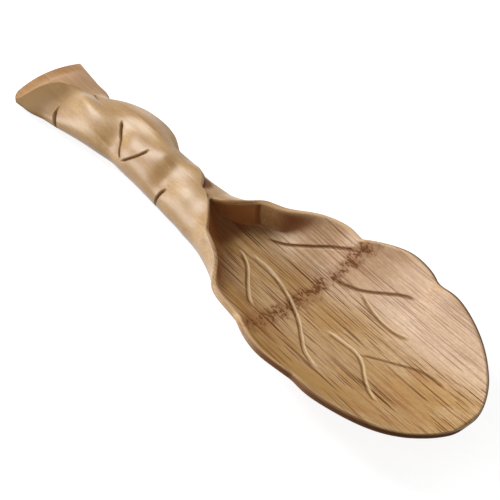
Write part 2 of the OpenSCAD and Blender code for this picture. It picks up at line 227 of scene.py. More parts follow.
# The far wall starts at this Y, and counts as upright as its normal's rise falls from here
WALL_START = 4
UPRIGHT_RISE = 0.6
UPRIGHT_FADE = 0.3

# A cut's width at its ends as a share, and how its walls bend
CUT_END_WIDTH = 0.45
CUT_POWER = 0.8

# Creases cut across the handle as x in millimetres and the angle round it, with their depth
CREASES = (
    (0.9, ((-66.5, 171), (-65.9, 175), (-65.2, 179), (-64.2, 182), (-63.2, 186), (-62.6, 193),
           (-62.4, 204), (-62.4, 216))),
    (0.8, ((-46.5, 94), (-45, 111), (-43.6, 127), (-41.9, 141), (-40.2, 155), (-38.7, 165),
           (-37.8, 172))),
    (0.5, ((-38, 172), (-36.4, 160), (-34.8, 147), (-33.6, 135), (-32.7, 120), (-32.3, 104))),
    (0.9, ((-20.3, 141), (-20.6, 150), (-21, 158), (-21.3, 166), (-21.6, 176), (-21.8, 187),
           (-22, 200), (-22.1, 214))),
    (0.3, ((-66.5, 40), (-64, 58), (-61.5, 72), (-59.5, 84), (-57.4, 92))),
)
CREASE_HALF_WIDTH = 0.48
CREASE_TAPER = 2.2
# Millimetres round the handle for each degree, at a radius of 8 mm
AROUND = math.radians(8.0)

# Swellings and dips along the handle: x, angle round it from the far side over the top, their
# reaches towards the stem, towards the leaf and, in degrees, round the handle, and the height
PILLOWS = (
    (-68, 164, 3.2, 3.2, 34, -0.6), (-59.5, 130, 5, 7.5, 30, 1.7), (-43.4, 134, 4.8, 3.8, 46, -1.6),
    (-27.6, 88, 5, 3.2, 30, 1.1), (-38, 58, 8, 8, 22, 1.3), (-22.8, 134, 3.2, 4.5, 32, -1),
    (-18.5, 66, 5, 6, 22, 1), (-9, 112, 7.5, 7.5, 40, 0.7),
)
HANDLE_AXIS_HEIGHT = 6.4

# The opened facet of the stem end: how bare its fibres are, and where along its path it fades
FACET_BARE = 0.45
FACET_START = 0.24
FACET_FADE_IN = 0.08
FACET_FADE_OUT = 0.03
# How far the rim's mask reaches in millimetres, and the brink's as a share of a half section
RIM_FADE = 1.0
BRINK_FADE = 0.2


def read(rows, s, column=1):
    """A table's column at places s, without overshoot between its rows."""
    x = np.array([row[0] for row in rows], float)
    y = np.array([row[column] for row in rows], float)
    w = np.diff(x)
    slope = np.diff(y) / w
    a, b = slope[:-1], slope[1:]
    both = np.where(a * b > 0, a + b, 1)
    lean = np.concatenate([slope[:1], np.where(a * b > 0, 2 * a * b / both, 0), slope[-1:]])
    i = np.clip(np.searchsorted(x, s, "right") - 1, 0, len(w) - 1)
    t = np.clip((s - x[i]) / w[i], 0, 1)
    ease = y[i] * (1 + 2 * t) * (1 - t) ** 2 + y[i + 1] * t * t * (3 - 2 * t)
    return ease + w[i] * t * (1 - t) * (lean[i] * (1 - t) - lean[i + 1] * t)


def size(rows, s, trough, handle):
    return trough * read(rows, s) + handle * read(rows, s, 2)


def closing(s):
    past = np.clip((s - LOBE_NOTCH) / (1 - LOBE_NOTCH), 0, 1)
    return np.sqrt(1 - past**2)


def edge(rows, s):
    """Angle in radians that an edge reaches, swollen into lobes and closing to the tip."""
    x = np.array([row[0] for row in rows], float)
    i = np.clip(np.searchsorted(x, s, "right") - 1, 0, len(x) - 2)
    t = np.clip((s - x[i]) / (x[i + 1] - x[i]), 0, 1)
    swell = np.array([row[2] for row in rows], float)[i] * np.sqrt(4 * t * (1 - t))
    return np.pi * (read(rows, s) + swell) * closing(s)


def smooth(t):
    t = np.clip(t, 0, 1)
    return t * t * (3 - 2 * t)


class Side:
    """One half of the sections: its skin, its rim and its lining, as distances out and heights."""

    def __init__(self, s, span, rise, edges, heel, cornered):
        self.s = s = np.asarray(s, float)[:, None]
        self.span = size(span, s, TROUGH_HALF, HANDLE_HALF)
        self.rise = size(rise, s, RISE_HALF, HEIGHT_HALF)
        self.last = edge(edges, s)
        self.even = np.pi * read(edges, s) * closing(s)
        self.heel = size(heel, s, TROUGH_HALF, HANDLE_HALF)
        self.k = read(cornered, s)
        self.keel = TIP_LIFT * read(KEEL, s)
        self.sole = SOLE * read(FLAT, s)
        self.middle_depth = TIP_THICKNESS + (FLOOR_THICKNESS - TIP_THICKNESS) * read(THICK, s)
        self.first = np.maximum(np.arccos(1 - self.sole / self.rise), LEAST_SOLE * self.last)

    def skin(self, angle):
        out = self.span * np.sin(angle)
        up = self.keel + np.maximum(0, self.rise * (1 - np.cos(angle)) - self.sole)
        return np.stack([out, up + 0 * out], -1)

    def outward(self, angle):
        n = np.stack([np.sin(angle) / self.span, -np.cos(angle) / self.rise], -1)
        return n / np.linalg.norm(n, axis=-1, keepdims=True)

    def bowl(self, u):
        angle = u * self.last
        v = np.minimum(1, angle / self.even)
        depth = RIM + (self.middle_depth - RIM) * (1 - v * v)
        return self.skin(angle) - self.outward(angle) * depth[..., None]

    def floor(self, y):
        climb = HEIGHT * read(CLIMB, self.s)
        return self.keel + self.middle_depth + y * y / (2 * CULM_RADIUS) + climb

    def trough(self, u, middle, heel):
        """The cornered lining: a floor out to the heel, then a wall up to the rim."""
        top = self.bowl(np.ones((1, 1)))
        run = read(SWEEP, self.s)
        turn = 0.5 + 0.5 * run
        w = np.minimum(1, u / turn)
        out = np.minimum(heel, top[..., 0])
        y = middle + (out - middle) * w
        sweep = (top[..., 1] - self.floor(out)) * run
        foot = np.stack([out, self.floor(out) + sweep], -1)
        across = np.stack([y, self.floor(y) + sweep * w**3], -1)
        up = np.clip((u - turn) / np.maximum(1 - turn, 1e-6), 0, 1)
        wall = foot + (top - foot) * up[..., None]
        return np.where((u < turn)[..., None], across, wall)

    def half(self, middle, heel):
        """Skin from the sole up, the rounded rim, and the lining down to the middle."""
        t = np.linspace(0, 1, OUTER_STEPS + 1)[None]
        outer = self.skin(self.first + (self.last - self.first) * t)
        n = self.outward(self.last)
        along = np.stack([-n[..., 1], n[..., 0]], -1)
        a = (np.pi * np.arange(1, RIM_STEPS) / RIM_STEPS)[None, :, None]
        r = RIM / 2
        rim = self.skin(self.last) - n * r + n * r * np.cos(a) + along * r * RIM_BULGE * np.sin(a)
        u = np.linspace(1, 0, INNER_STEPS + 1)[None]
        k = self.k[..., None]
        inner = (1 - k) * self.bowl(u) + k * self.trough(u, middle, heel)
        return self.rounded_tip(outer, rim, inner)

    def core(self, shares):
        """Points half way into the wall of the section, whose mean thickness is taken."""
        angle = self.last * shares[None]
        return self.skin(angle) - self.outward(angle) * (RIM + self.middle_depth)[..., None] / 4

    def rounded_tip(self, outer, rim, inner):
        """Draws the two skins together at the tip, so that its edge is round as the rim is."""
        left = np.clip((TIP - self.s) * LENGTH / (RIM / 2), 0, 1)
        keep = np.sqrt(1 - (1 - left) ** 2)[..., None] * (1 - TIP_LEAST) + TIP_LEAST
        core = self.core(np.linspace(0, 1, OUTER_STEPS + 1))
        outer = core + (outer - core) * keep
        core = self.core(np.linspace(1, 0, INNER_STEPS + 1))
        inner = core + (inner - core) * keep
        mid = (outer[:, -1:] + inner[:, :1]) / 2
        return outer, mid + (rim - mid) * keep, inner


def flip(points):
    return points * np.array([-1, 1])


def eased(lining):
    """Rounds the corner between the floor and a wall, with the rims held."""
    hold = np.minimum(np.arange(lining.shape[1]), np.arange(lining.shape[1])[::-1])
    w = smooth(hold / RIM_HELD)[None, :, None] * EVENING
    for _ in range(FLOOR_PASSES):
        lining = lining + w * ((np.roll(lining, 1, 1) + np.roll(lining, -1, 1)) / 2 - lining)
    return lining


def open_rows(s):
    """Sections of the leaf and the throat: near skin up, near rim, lining across, far side down."""
    near = Side(s, NEAR_SPAN, NEAR_RISE, NEAR_EDGE, NEAR_HEEL, NEAR_CORNERED)
    far = Side(s, FAR_SPAN, FAR_RISE, FAR_EDGE, FAR_HEEL, FAR_CORNERED)
    middle = (near.heel + far.heel) / 2
    n_outer, n_rim, n_inner = near.half(-middle, -near.heel)
    f_outer, f_rim, f_inner = far.half(middle, far.heel)
    k = (near.k + far.k) / 2
    centre = np.stack([k * middle, near.floor(k * middle)], -1)
    n_last, f_last = flip(n_inner[:, -2:-1]), f_inner[:, -2:-1]
    lift = smooth((TIP - near.s) * LENGTH / RIM)[..., None]
    centre = lift * centre + (1 - lift) * (n_last + f_last) / 2
    lining = np.concatenate([flip(n_inner[:, :-1]), centre, f_inner[:, ::-1][:, 1:]], 1)
    rows = [flip(n_outer), flip(n_rim), eased(lining), f_rim[:, ::-1], f_outer[:, ::-1]]
    return np.concatenate(rows, 1)


def inside_share():
    """How far round from the outer skin (0) to the lining (1) each point of an open section is."""
    brink = np.linspace(0, 1, RIM_STEPS + 1)[1:-1]
    skin = np.zeros(OUTER_STEPS + 1)
    return np.concatenate([skin, brink, np.ones(2 * INNER_STEPS + 1), brink[::-1], skin])


def fading(count):
    return smooth(1 - np.linspace(0, 1, count) / BRINK_FADE)


def by_brink():
    """1 at the two rims of an open section, fading to 0 a short way down its lining and skin."""
    skin, half = fading(OUTER_STEPS + 1), fading(INNER_STEPS + 1)
    rim = np.ones(RIM_STEPS - 1)
    return np.concatenate([skin[::-1], rim, half, half[::-1][1:], rim, skin])


def closed_rows(s):
    """Sections of the rolled handle and the stem: the near half wraps over and laps the far half."""
    near = Side(s, NEAR_SPAN, NEAR_RISE, NEAR_EDGE, NEAR_HEEL, NEAR_CORNERED)
    far = Side(s, FAR_SPAN, FAR_RISE, NEAR_EDGE, FAR_HEEL, FAR_CORNERED)
    s = near.s
    lap = LAP * read(LAPPED, s)
    first = np.arccos(1 - near.sole / near.rise)
    angle = first + (near.last - first) * np.linspace(0, 1, 2 * HANDLE_STEPS + 1)[None]
    wide = np.where(angle <= np.pi, near.span, far.span + lap)
    up = near.keel + np.maximum(0, near.rise * (1 - np.cos(angle)) - near.sole)
    wrap = np.stack([-wide * np.sin(angle), up], -1)
    u = np.linspace(1, 0, HANDLE_STEPS + 1)[None]
    far_first = np.arccos(1 - far.sole / far.rise)
    rounded = far.skin(far_first + (2 * np.pi - near.last - far_first) * u)
    top = wrap[:, -1:] - flip(near.outward(near.last)) * lap[..., None]
    corner = np.stack([far.span, HEIGHT * read(CORNER, s)], -1)
    foot = np.stack([far.span * FOOT, 0 * s], -1)
    w = np.maximum(0, u - SIDE) / (1 - SIDE)
    crown = HEIGHT * CROWN * 4 * w * (1 - w) * np.maximum(0, 1 - s / BOW_LENGTH)
    low = foot + (corner - foot) * (np.minimum(u, SIDE) / SIDE)[..., None]
    high = corner + (top - corner) * w[..., None]
    high[..., 1] += crown
    faceted = np.where((u < SIDE)[..., None], low, high)
    k = read(FACET, s)[..., None]
    return np.concatenate([wrap, k * faceted + (1 - k) * rounded], 1)


def placed(rows, s):
    """Sections as points in space; the stem end is cut in a shallow bow."""
    s = np.asarray(s, float)[:, None]
    off = (rows[..., 0] / HANDLE_HALF - BOW_MIDDLE) / BOW_REACH
    bow = HANDLE_HALF * BOW * off * off * np.maximum(0, 1 - s / BOW_LENGTH)
    past = np.clip((CORNER_START - rows[..., 0]) / CORNER_ROUND, 0, 1)
    nose = CORNER_ROUND * (1 - np.sqrt(1 - past * past)) * np.maximum(0, 1 - s / BOW_LENGTH)
    x = LENGTH * (s - 0.5) + bow + nose
    return np.concatenate([x[..., None], rows], -1)


def grid_normals(p):
    """Outward normals of a grid of rows of points, each row a closed loop."""
    along = np.gradient(p, axis=0)
    across = (np.roll(p, -1, 1) - np.roll(p, 1, 1)) / 2
    n = np.cross(along, across)
    return n / np.maximum(np.linalg.norm(n, axis=-1, keepdims=True), 1e-12)


def relaxed(p, x, notches, firm, passes, brink):
    """Evens a grid along its length, less near the notches in its brink and where it is firm."""
    hold = np.ones(p.shape[:2])
    for notch in notches:
        near = np.exp(-(((x - LENGTH * (notch - 0.5)) / NOTCH_REACH) ** 2))
        hold = hold * (1 - NOTCH_HOLD * near[:, None] * brink[None])
    w = (EVENING * hold * firm[:, None])[1:-1, :, None]
    for _ in range(passes):
        p[1:-1] += w * ((p[:-2] + p[2:]) / 2 - p[1:-1])
    return p


def curve(points, spacing=0.25):
    """A smooth line through given points, as evenly spaced ones."""
    p = np.array(points, float)
    p = np.concatenate([2 * p[:1] - p[1:2], p, 2 * p[-1:] - p[-2:-1]])
    out = []
    for a, b, c, d in zip(p[:-3], p[1:-2], p[2:-1], p[3:]):
        t = np.linspace(0, 1, max(2, int(np.linalg.norm(c - b) / spacing)) + 1)[:-1, None]
        out.append(b + 0.5 * t * (c - a + t * (2 * a - 5 * b + 4 * c - d + t * (3 * (b - c) + d - a))))
    return np.concatenate(out + [p[-2:-1]])


def cut(points, path, half_width, taper):
    """How deep a tapering V cut along a path goes at each point, from 0 to 1."""
    line = curve(path)
    run = np.concatenate([[0], np.cumsum(np.linalg.norm(np.diff(line, axis=0), axis=1))])
    flat = points.reshape(-1, points.shape[-1])
    low, high = line.min(0) - 2 * half_width, line.max(0) + 2 * half_width
    close = np.flatnonzero(((flat > low) & (flat < high)).all(1))
    depth = np.zeros(len(flat))
    if len(close):
        gap = np.linalg.norm(flat[close, None] - line[None], axis=-1)
        i = gap.argmin(1)
        ends = np.minimum(run[i], run[-1] - run[i])
        width = half_width * (CUT_END_WIDTH + (1 - CUT_END_WIDTH) * smooth(ends / taper))
        wall = np.clip(1 - gap.min(1) / width, 0, 1)
        depth[close] = smooth(wall) ** CUT_POWER * smooth(ends / taper)
    return depth.reshape(points.shape[:-1])


def around(p):
    """Degrees round the handle from the far side over the top."""
    return np.degrees(np.arctan2(p[..., 2] - HANDLE_AXIS_HEIGHT, p[..., 1])) % 360


def pillows(p):
    """The handle's swellings and dips, as a height at each point."""
    turned = around(p)
    height = 0
    for x, angle, behind, ahead, spread, rise in PILLOWS:
        reach = np.where(p[..., 0] < x, behind, ahead)
        away = ((p[..., 0] - x) / reach) ** 2 + ((turned - angle) / spread) ** 2
        height = height + rise * np.exp(-away)
    return height


def hand_cut(p):
    """The slight unevenness that a knife and sandpaper leave, in millimetres."""
    x, y, z = p[..., 0], p[..., 1], p[..., 2]
    wave = np.sin(x / 3.1 + 0.7 * np.sin(y / 4.3)) * np.sin(y / 3.7 + z / 5 + 0.9)
    return 0.045 * wave + 0.05 * np.sin(x / 7.3 + y / 5.9 + 1.3)


def on_floor(p):
    """Keeps the sanded flat from going below the table."""
    p[..., 2] = np.maximum(p[..., 2], 0)
    return p


def opened_facet(s):
    """How bare the fibres are on the flat facet of the stem end, where the knife laid them open."""
    wrap = np.zeros(2 * HANDLE_STEPS + 1)
    u = np.linspace(1, 0, HANDLE_STEPS + 1)
    cut_face = smooth((u - FACET_START) / FACET_FADE_IN) * smooth((1 - u) / FACET_FADE_OUT)
    return FACET_BARE * read(FACET, s)[:, None] * np.concatenate([wrap, cut_face])[None]


def ladder(a, b):
    """Triangles that fill a run of points, each joined to its partner from the run's other end."""
    out = []
    while b - a > 2:
        out += [(a, a + 1, b - 1), (a, b - 1, b)]
        a, b = a + 1, b - 1
    return out + [(a, a + 1, b)] * (b - a > 1)


def zipped(skin, skin_share, lining, lining_share):
    """Triangles between two runs of points, each step taken on the run that lags."""
    i, j, out = 0, 0, []
    while i < len(skin) - 1 or j < len(lining) - 1:
        lags = i < len(skin) - 1 and (j == len(lining) - 1 or skin_share[i + 1] <= lining_share[j + 1])
        if lags:
            out.append((lining[j], skin[i], skin[i + 1]))
            i += 1
        else:
            out.append((lining[j], skin[i], lining[j + 1]))
            j += 1
    return [corners for corners in out if len(set(corners)) == 3]


def open_cap(m):
    """Triangles that fill the end of an open section, near half and far half."""
    half = m // 2
    brink = 1 + np.arange(1, RIM_STEPS // 2 + 1)
    skin_share = np.concatenate([np.linspace(0, 1, OUTER_STEPS + 1), brink])
    lining_share = np.concatenate([np.linspace(0, 1, INNER_STEPS + 1), brink])
    near = zipped(range(0, CREST + 1), skin_share, range(half, CREST - 1, -1), lining_share)
    far = zipped(range(m - 1, m - 2 - CREST, -1), skin_share, range(half, m - CREST), lining_share)
    return near + [(c, b, a) for a, b, c in far] + [(0, half, m - 1)]


class Skin:
    """A grid of points over several nodes, with its normals and a mask for each material detail."""

    def __init__(self, points, masks, hollow):
        self.points = points
        self.normals = grid_normals(points)
        self.masks = masks
        self.hollow = hollow

    def faces(self, n, m):
        """Walls between n rows of m points, and caps with rings of their own, which shade flat."""
        cap = open_cap(m) if self.hollow else ladder(0, m - 1)
        i, j = np.meshgrid(np.arange(m), np.arange(n - 1))
        a, b = j * m + i, j * m + (i + 1) % m
        back, front = n * m, n * m + m
        walls = np.stack([a, a + m, b + m, b], -1).reshape(-1, 4).tolist()
        walls += [(back + u, back + v, back + w) for u, v, w in cap]
        return walls + [(front + w, front + v, front + u) for u, v, w in cap]

    def mesh(self, name, first, last):
        """Rows first to last as a closed mesh in metres, with its masks and normals."""
        p, normals = self.points[first : last + 1], self.normals[first : last + 1]
        n, m = p.shape[:2]
        mesh = bpy.data.meshes.new(name)
        verts = np.concatenate([p.reshape(-1, 3), p[0], p[-1]]) * MM
        mesh.from_pydata(verts.tolist(), [], self.faces(n, m))
        for key, mask in self.masks.items():
            rows = mask[first : last + 1]
            values = np.concatenate([rows.reshape(-1), rows[0], rows[-1]])
            mesh.attributes.new(key, "FLOAT", "POINT").data.foreach_set("value", values.astype("f"))
        mesh.update()
        mesh.shade_smooth()
        ends = np.repeat([[-1.0, 0, 0], [1.0, 0, 0]], m, 0)
        custom = np.concatenate([normals.reshape(-1, 3), ends])
        mesh.normals_split_custom_set_from_vertices(custom.tolist())
        return mesh

    def piece(self, name, node, slot, first, last, material):
        """Rows first to last as a piece that rides on the frame in place of its node."""
        piece = bpy.data.objects.new(name, self.mesh(name, first, last))
        bpy.context.scene.collection.objects.link(piece)
        piece.data.materials.append(material)
        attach(piece, "root")
        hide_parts(node)


def stations(a, b, spacing):
    return np.linspace(a, b, max(2, round((b - a) * LENGTH / spacing)) + 1)


def walled_in(p):
    """How much of the sky the two rims, and the near one alone, hide from each point, from 0 to 1."""
    near, far = p[:, CREST][:, None], p[:, -1 - CREST][:, None]
    a, b = near - p, far - p
    a_angle = np.arctan2(a[..., 2], -a[..., 1])
    b_angle = np.arctan2(b[..., 2], b[..., 1])
    hidden = np.clip(a_angle, 0, np.pi) + np.clip(b_angle, 0, np.pi)
    return np.clip(hidden / np.pi, 0, 1), np.clip(a_angle / (np.pi / 2), 0, 1)


def rim_closeness(p):
    """1 at the rims of an open section, fading over about a millimetre to each side."""
    step = np.linalg.norm(np.diff(p, axis=1), axis=-1)
    run = np.concatenate([np.zeros((len(p), 1)), np.cumsum(step, 1)], 1)
    near, far = run[:, CREST][:, None], run[:, -1 - CREST][:, None]
    away = np.minimum(abs(run - near), abs(run - far))
    return np.exp(-((away / RIM_FADE) ** 2))


def veins(p, lining):
    """The veins' cuts and lips as masks, and the height that both add; the cuts carry painted shade and the
    lips a painted highlight.
    """
    groove, lip, lift = 0.0 * lining, 0.0 * lining, 0.0 * lining
    for depth, raised, path in VEINS:
        v = cut(p[..., :2], path, VEIN_HALF_WIDTH, VEIN_TAPER) * lining
        beside = [(x, y + LIP_OFFSET) for x, y in path]
        edge_of_it = cut(p[..., :2], beside, VEIN_LIP, VEIN_TAPER) * lining * (1 - v)
        groove = np.maximum(groove, v)
        lip = np.maximum(lip, edge_of_it * min(1, raised / FULL_LIP))
        lift = lift - depth * v + raised * edge_of_it
    return groove, lip, lift


def wall_crease(p, lining):
    """The upright crease in the far wall, as a mask."""
    rise = abs(grid_normals(p)[..., 2])
    upright = (p[..., 1] > WALL_START) * smooth((UPRIGHT_RISE - rise) / UPRIGHT_FADE) * lining
    return cut(p[..., ::2], WALL_CREASE, WALL_CREASE_HALF_WIDTH, WALL_CREASE_TAPER) * upright


def leaf_skin():
    """The grid of the throat, the node and the blade, and the rows at which these are cut apart."""
    node_half = NODE_LENGTH / LENGTH / 2
    throat = stations(MOUTH, NODE - node_half, LEAF_SPACING)
    band = stations(NODE - node_half, NODE + node_half, LEAF_SPACING)
    body = stations(NODE + node_half, TIP - NOSE, LEAF_SPACING)
    nose = TIP - NOSE * np.linspace(1, 0, NOSE_STEPS)[1:] ** 2
    s = np.concatenate([throat, band[1:], body[1:], nose])
    p = placed(open_rows(s), s)
    x = LENGTH * (s - 0.5)
    firm = smooth((s - MOUTH) / MOUTH_FADE) * smooth((TIP_FADE_END - s) / TIP_FADE)
    p = relaxed(p, x, (CURL_NOTCH, NODE, LOBE_NOTCH), firm, LEAF_PASSES, by_brink())
    inside = inside_share()[None] + 0 * s[:, None]
    lining = inside == 1
    groove, lip, lift = veins(p, lining)
    v = wall_crease(p, lining)
    groove = np.maximum(groove, v)
    lift = lift - WALL_CREASE_DEPTH * v
    fade = smooth((s - MOUTH) / CARVING_FADE) * smooth((HAND_CUT_END - s) / CARVING_FADE)
    p = on_floor(p + grid_normals(p) * (lift + hand_cut(p) * fade[:, None])[..., None])
    hollow, nook = walled_in(p)
    masks = {
        "groove": groove, "lip": lip, "inside": inside, "hollow": hollow * inside,
        "nook": nook * inside, "rim": rim_closeness(p),
    }
    cuts = (0, len(throat) - 1, len(throat) + len(band) - 2, len(s) - 1)
    return Skin(p, masks, True), cuts


def handle_skin():
    """The grid of the stem end and the handle, and the rows at which these are cut apart."""
    stem = stations(0, STEM_NOTCH, HANDLE_SPACING)
    s = np.concatenate([stem, stations(STEM_NOTCH, MOUTH, HANDLE_SPACING)[1:]])
    p = placed(closed_rows(s), s)
    x = LENGTH * (s - 0.5)
    fade = smooth((MOUTH - s) / HANDLE_FADE)
    firm = smooth(s / CARVING_FADE) * fade
    p = relaxed(p, x, (HANDLE_NOTCH, STEM_NOTCH), firm, HANDLE_PASSES, np.ones(p.shape[1]))
    lift = (pillows(p) + hand_cut(p)) * fade[:, None] * smooth(s / STEM_FADE)[:, None]
    p = p + grid_normals(p) * lift[..., None]
    unrolled = np.stack([p[..., 0], AROUND * around(p)], -1)
    zero = 0 * p[..., 0]
    groove, lift = zero, zero
    for depth, path in CREASES:
        v = cut(unrolled, [(x, AROUND * angle) for x, angle in path], CREASE_HALF_WIDTH, CREASE_TAPER)
        groove = np.maximum(groove, v)
        lift = np.minimum(lift, -depth * v)
    p = on_floor(p + grid_normals(p) * lift[..., None])
    masks = {"groove": groove, "inside": opened_facet(s)}
    for key in ("lip", "hollow", "nook", "rim"):
        masks[key] = zero
    return Skin(p, masks, False), (0, len(stem) - 1, len(s) - 1)


# Colours as they look: the skin and the opened inside in even, warm and pale tones, then the details
OUTER_TONES = ((168, 129, 74), (157, 115, 62), (182, 145, 92))
# Skin that faces sideways: a yellower tone and painted shade
OUTER_SIDES_TONE_AND_SHADE = (164, 122, 64)
INNER_TONES = ((184, 143, 82), (176, 124, 66), (198, 162, 112))
# The opened inside towards the far side: a paler tone and a painted sheen
INNER_FAR_PALE_AND_SHEEN = (212, 178, 146)
GRAIN = (112, 76, 42)
SPECKS = (104, 68, 36)
THIN_FIBRES = (132, 78, 28)
FIBRES = (94, 46, 8)
REDDENED = (140, 84, 34)
NODE_TONE = (146, 94, 44)
FLECKS = (98, 54, 18)
# painted shade in the veins and creases
CUT_SHADE = (84, 46, 18)
# reddish stain and painted shade on the walls near the mouth, where the rims hide the sky
MOUTH_WALL_STAIN_AND_SHADE = (176, 108, 66)
# darker stain and painted shade on the walls of the curl, where the rims hide the sky
CURL_WALL_STAIN_AND_SHADE = (120, 70, 38)
# painted shade behind the near wall and at the back of the throat
DEPTH_SHADE = (122, 66, 34)
# painted shade on the skin of the stem end
STEM_SIDE_SHADE = (110, 84, 50)
TUCK_SHADE = (98, 56, 28)
# painted highlight on the vein lips
LIP_HIGHLIGHT = (236, 206, 160)
# wear and a painted highlight along the inside of the rims
WORN_RIM_HIGHLIGHT = (220, 184, 138)
# painted shade on skin that faces down
UNDERSIDE_SHADE = (112, 74, 38)
# darker skin with painted shade on the outer face of the leaf's rim
DARK_EDGE_AND_SHADE = (84, 44, 16)

# Places in millimetres from which and to which a detail grows
# Y over which the far side's paler tone and painted sheen grow
FAR_SIDE_PALE_AND_SHEEN = (4, 15)
FAINT_FAR_FIBRES = (5, 15)
RED_START = (12, 22)
RED_END = (27, 25)
MOUTH_WALL_REACH = (1, 0)
CURL_WALL_REACH = (2.5, 8)
THROAT_BACK = (2, -2)
STEM_SIDE_REACH = (-59, -72)
# X over which the rims' wear and painted highlight grow
WORN_HIGHLIGHT_RIM_REACH = (36, 24)
DARK_EDGE_START = (24, 42)
TURNED_EDGE_START = (46, 54)
TURNED_EDGE_END = (73, 68)
TURNED_EDGE_SIDE = (-5, -9)

# The dark tuck where the far curl comes out from under the handle: its middle, reach and top
TUCK = (-14.0, 1.9, 12.5)
TUCK_REACH = (2.8, 1.0)
TUCK_TOP = (13.3, 12.7)

# Where the node crosses the middle of the leaf, how it bends with Y squared, wanders and spreads
NODE_X = 24.9
NODE_BEND = 0.0085
NODE_WANDER = 6.0
NODE_REACH = (3.6, 0.3)

# How far the culm's layers of fibres lean to the near side for each millimetre up, and their waves
FIBRE_LEAN = 0.5
FIBRE_WAVE = 0.6

BUMP_STRENGTH = 0.6
BUMP_DEPTH = 0.14 * MM
SPECULAR = 0.15
COAT_ROUGHNESS = 0.38
MASKS = ("groove", "lip", "inside", "hollow", "nook", "rim")


def srgb(r, g, b):
    """A colour written as it looks, in the linear values that the shader takes."""
    return [((c / 255 + 0.055) / 1.055) ** 2.4 for c in (r, g, b)] + [1]


class Tree:
    """Short calls that add shader nodes to one material."""

    def __init__(self, name):
        self.material = bpy.data.materials.new(name)
        self.material.use_nodes = True
        self.nodes = self.material.node_tree.nodes
        self.links = self.material.node_tree.links
        self.shader = self.nodes["Principled BSDF"]

    def add(self, kind, inputs, **settings):
        node = self.nodes.new("ShaderNode" + kind)
        for key, value in settings.items():
            setattr(node, key, value)
        for key, value in inputs.items():
            self.put(node.inputs[key], value)
        return node

    def put(self, socket, value):
        if isinstance(value, bpy.types.NodeSocket):
            self.links.new(value, socket)
        else:
            socket.default_value = value

    def math(self, operation, *values):
        """The values taken two at a time, so that a product or a sum may have any number of them."""
        result = values[0]
        for value in values[1:] or (0.0,):
            result = self.add("Math", {0: result, 1: value}, operation=operation).outputs[0]
        return result

    def times(self, *values):
        return self.math("MULTIPLY", *values)

    def ease(self, value, low, high, start=0.0, end=1.0):
        inputs = {"Value": value, 1: low, 2: high, 3: start, 4: end}
        return self.add("MapRange", inputs, interpolation_type="SMOOTHSTEP").outputs[0]

    def vector(self, operation, a, b):
        return self.add("VectorMath", {0: a, 1: b}, operation=operation).outputs[0]

    def sized(self, vector, x, y, z):
        """Coordinates in which a box of x by y by z is one unit."""
        return self.vector("MULTIPLY", vector, (1 / x, 1 / y, 1 / z))

    def noise(self, vector, detail=2.0, rough=0.5):
        inputs = {"Vector": vector, "Scale": 1.0, "Detail": detail, "Roughness": rough}
        return self.add("TexNoise", inputs).outputs["Fac"]

    def cells(self, vector):
        return self.add("TexVoronoi", {"Vector": vector, "Scale": 1.0}, feature="F1").outputs["Distance"]

    def mask(self, name):
        return self.add("Attribute", {}, attribute_name=name).outputs["Fac"]

    def mix(self, share, a, b):
        node = self.nodes.new("ShaderNodeMix")
        node.data_type = "RGBA"
        for socket, value in ((node.inputs[0], share), (node.inputs[6], a), (node.inputs[7], b)):
            self.put(socket, value)
        return node.outputs[2]


